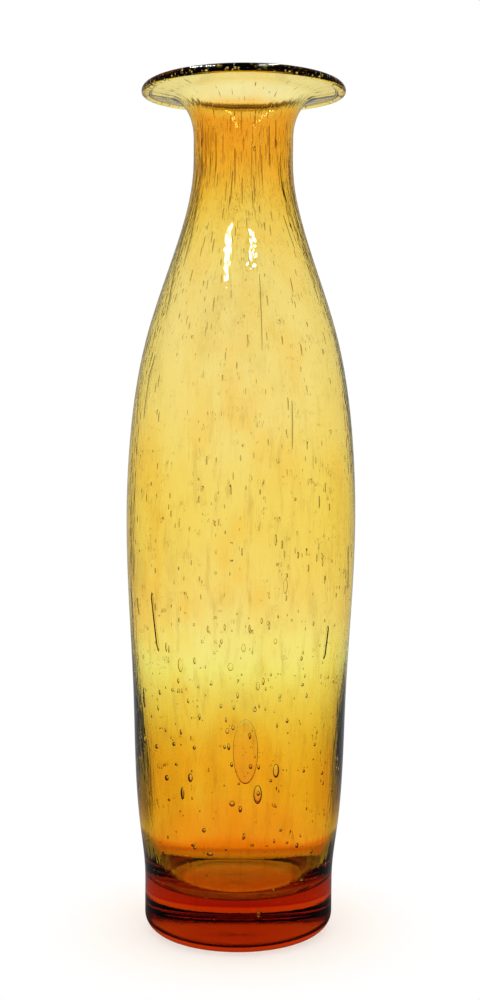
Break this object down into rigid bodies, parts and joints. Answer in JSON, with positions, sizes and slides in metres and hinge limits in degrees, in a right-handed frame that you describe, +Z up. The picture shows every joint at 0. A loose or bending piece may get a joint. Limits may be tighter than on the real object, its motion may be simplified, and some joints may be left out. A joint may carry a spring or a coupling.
{
  "type": "bottle vase",
  "caption": "Tall bottle vase of amber seeded glass: thick rounded foot, gently swelling body, narrow neck and a nearly flat flared lip with a rolled rim.",
  "frame": {"origin": "centre of the underside, at the level of the surface it stands on", "axes": "+Z up along the vase's axis, from the foot to the rim; X and Y are any two directions across it"},
  "size_m": [0.0818, 0.0818, 0.3],
  "materials": {
    "amber_glass": "fire-polished transparent blown glass with seeds"
  },
  "bodies": {
    "root": {"base": "amber_glass", "body": "amber_glass", "shoulder": "amber_glass", "neck": "amber_glass", "flared_lip": "amber_glass", "rolled_rim": "amber_glass"}
  },
  "joints": []
}
